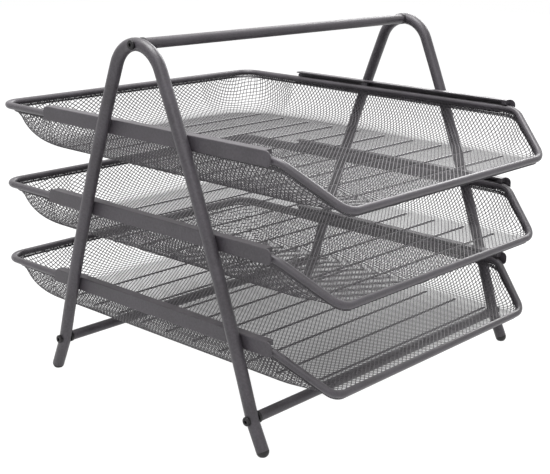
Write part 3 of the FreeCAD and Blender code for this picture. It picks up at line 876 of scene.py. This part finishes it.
hem_top, hem_foot = hem_line([HEM_TOP] * len(rim_corners)), hem_line(HEM_DEPTHS)
hem_along = path_lengths(hem_top)
hem_facing = np.cross(np.gradient(hem_top, axis=0), hem_foot - hem_top)
hem_facing /= np.linalg.norm(hem_facing, axis=1)[:, None]
print("hem: %.0f mm long on each side" % hem_along[-1])


# %% Its crossing strands, and the strand along its foot
def hem_points(along, down):
    """Places and normals on the strip: lengths along it, and a share of the way down."""
    top, foot, facing = (read_along(along, hem_along, rows) for rows in (hem_top, hem_foot, hem_facing))
    return top * (1 - down) + foot * down, facing


starts = np.arange(0.0, hem_along[-1] - HEM_PITCH, HEM_PITCH)
count = len(starts)
ends = [hem_points(starts + shift, down)
        for shift, down in ((0.0, 0), (HEM_PITCH, 1), (HEM_PITCH, 0), (0.0, 1))]
hem_places, hem_normals = (np.concatenate([end[i] for end in ends]) for i in (0, 1))
hem_edges = [(first + i, first + count + i) for first in (0, 2 * count) for i in range(count)]
foot_places, foot_normals = hem_points(hem_along, 1)
foot_edges = [(i, i + 1) for i in range(len(foot_places) - 1)]


def both_sides(places, normals, edges):
    """Lines on the right half, and their mirror image on the left half."""
    doubled = [np.concatenate([table, table * (-1, 1, 1)]) for table in (places, normals)]
    return doubled[0], edges + [(a + len(places), b + len(places)) for a, b in edges], doubled[1]


for tray in TRAYS:
    for name, strip, width in (("hem", (hem_places, hem_normals, hem_edges), STRAND_WIDTH),
                               ("hem_edge", (foot_places, foot_normals, foot_edges), HEM_EDGE_WIDTH)):
        places, edges, normals = both_sides(*strip)
        lines = lines_mesh(places + tray_place(tray), edges, normals)
        dress(grow("tray_%s_%s_mesh" % (tray, name), lines, width, STRAND_THICKNESS), tray, "hem")
print("crossing strands in each hem:", 2 * len(hem_edges))

# %% [markdown]
# ## The creases
#
# The press crushes the mesh shut along each crease, which leaves a narrow solid rib
# in a shallow groove.  A darker stripe in the paint would be lost between the
# strands, so each rib is real.  The same tree makes it, only wider and thicker.

# %% Close the mesh along the creases
CRUSHED_WIDTH, CRUSHED_THICKNESS, CRUSHED_LIFT = 1.6, 1.0, 0.1
rib_reach = CREASE_HALF_LENGTH - CREASE_RUN_OUT
rib_height = -FLOOR_DEPTH - CRUSHED_THICKNESS / 2 + CRUSHED_LIFT
rib_ends = np.array([(side * rib_reach, y, rib_height) for y in crease_lines for side in (-1, 1)])
rib_edges = [(2 * i, 2 * i + 1) for i in range(CREASE_COUNT)]

for tray in TRAYS:
    lines = lines_mesh(rib_ends + tray_place(tray), rib_edges, [(0, 0, 1)] * len(rib_ends))
    dress(grow("tray_%s_creases" % tray, lines, CRUSHED_WIDTH, CRUSHED_THICKNESS), tray, "basket")
print("crushed lines:", CREASE_COUNT, "in each tray")

# %% [markdown]
# ## The studio
#
# The stack stands on a plain white floor under a large soft lamp.  A white sweep
# could be lit until it clips, but that would also wash out the object.  Instead the
# floor and the world are white only to the camera and to reflections, while the
# lamps stay at a plain level.  Seen through the mesh, a floor as bright as that
# would drown the strands.  So a shadow is painted into the floor's glow under the
# stack, darkest under its front.  The floor also takes a little of the lamps' light,
# which leaves a faint real shadow.

# %% What the camera sees of floor and world
def white_to_camera(tree):
    """1 for rays that show the background: camera, mirror and glass rays."""
    ray = add(tree, "ShaderNodeLightPath").outputs
    total = maths(tree, "ADD", ray["Is Camera Ray"], ray["Is Glossy Ray"])
    total = maths(tree, "ADD", total, ray["Is Transmission Ray"])
    return maths(tree, "MINIMUM", total, 1.0)


def grey(value):
    return value, value, value, 1.0


# %% Floor
FLOOR_SIZE, MOTTLE_PER_METRE = 6.0, 3.0
FLOOR_GREYS, SEEN_GREY = (0.86, 0.88), 0.14                 # under the lamps, and to the camera
# The floor's glow beside the stack, and the lower glow of the painted shadow under it and under its front
GLOW_AROUND, PAINTED_SHADOW_GLOW, PAINTED_SHADOW_GLOW_FRONT = 0.985, 0.50, 0.37     # beside the stack, under it, under its front
SHADE_MIDDLE, SHADE_REACH = (0.07, 0.04, 0.0), (0.19, 0.20, 1.0)
SHADE_FADE = (1.00, 0.45)                                   # from none to full, in shares of the reach
SHADE_LEFT, SHADE_FRONT = (-0.050, -0.030), (-0.107, -0.085)
SHADE_DEEPER = (0.02, -0.05)                                # from the plain shade to the front's, along Y


def floor_glow_and_painted_shadow(tree, place):
    """The floor's own brightness, with a painted shadow under the stack that fades away to the rear."""
    shift = vector_maths(tree, "SUBTRACT", place, SHADE_MIDDLE)
    behind = vector_maths(tree, "MAXIMUM", shift, (-1.0, 0.0, -1.0))     # in front, only X counts
    distance = vector_maths(tree, "LENGTH", vector_maths(tree, "DIVIDE", behind, SHADE_REACH))
    across, along = axes(tree, place)["X"], axes(tree, place)["Y"]
    shade = remap(tree, distance, *SHADE_FADE, curve="SMOOTHSTEP")
    for value, edge in ((across, SHADE_LEFT), (along, SHADE_FRONT)):
        shade = maths(tree, "MULTIPLY", shade, remap(tree, value, *edge, curve="SMOOTHSTEP"))
    below = remap(tree, along, *SHADE_DEEPER, PAINTED_SHADOW_GLOW, PAINTED_SHADOW_GLOW_FRONT, "SMOOTHSTEP")
    return remap(tree, shade, 0.0, 1.0, GLOW_AROUND, below)


def make_floor():
    half = FLOOR_SIZE / 2
    mesh = bpy.data.meshes.new("studio_floor")
    mesh.from_pydata([(-half, -half, 0), (half, -half, 0), (half, half, 0), (-half, half, 0)], [],
                     [(0, 1, 2, 3)])
    floor = bpy.data.objects.new("studio_floor", mesh)
    bpy.context.scene.collection.objects.link(floor)
    material, tree, shader, place = start_material("studio_floor")
    seen = white_to_camera(tree)
    mottle = noise(tree, place, MOTTLE_PER_METRE)
    plain = blend_colours(tree, mottle, *(grey(g) for g in FLOOR_GREYS))
    feed(tree, shader["Base Color"], blend_colours(tree, seen, plain, grey(SEEN_GREY)))
    feed(tree, shader["Roughness"], 1.0)
    feed(tree, shader["Specular IOR Level"], 0.0)
    feed(tree, shader["Emission Color"], grey(1.0))
    # the glow, seen only by camera and reflections, carries the painted shadow under the stack
    feed(tree, shader["Emission Strength"], maths(tree, "MULTIPLY", seen, floor_glow_and_painted_shadow(tree, place)))
    mesh.materials.append(material)
    floor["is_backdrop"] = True


make_floor()
print("floor: %.0f m square" % FLOOR_SIZE)


# %% World and lamps
WORLD_LIGHT = 0.16
LAMP_TARGET = Vector((0, 0, 0.13))


def make_world():
    world = bpy.data.worlds.new("studio")
    bpy.context.scene.world = world
    world.use_nodes = True
    tree = world.node_tree
    background = tree.nodes["Background"].inputs
    feed(tree, background["Color"], grey(1.0))
    feed(tree, background["Strength"], remap(tree, white_to_camera(tree), 0.0, 1.0, WORLD_LIGHT, 1.0))


def lamp(name, place, size, watts):
    data = bpy.data.lights.new(name, "AREA")
    data.shape, data.size, data.energy = "SQUARE", size, watts
    light = bpy.data.objects.new(name, data)
    light.location = place
    light.rotation_mode = "QUATERNION"
    light.rotation_quaternion = (LAMP_TARGET - Vector(place)).to_track_quat("-Z", "Y")
    bpy.context.scene.collection.objects.link(light)


make_world()
lamp("overhead", (-0.10, 0.12, 1.7), 1.0, 34.0)
lamp("front_left", (-1.2, -1.1, 1.2), 0.7, 6.5)
lamp("right_rear", (1.2, 0.4, 0.8), 0.7, 10.0)

# %% [markdown]
# ## Check and finish
#
# The dressed model should not outgrow the imported one, so the growth of its box is printed.

# %% Measure both boxes
visual_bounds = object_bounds()
growth = (np.array(visual_bounds) - np.array(cad_bounds)) / MM
print("box grew by", growth.round(2).tolist(), "mm")
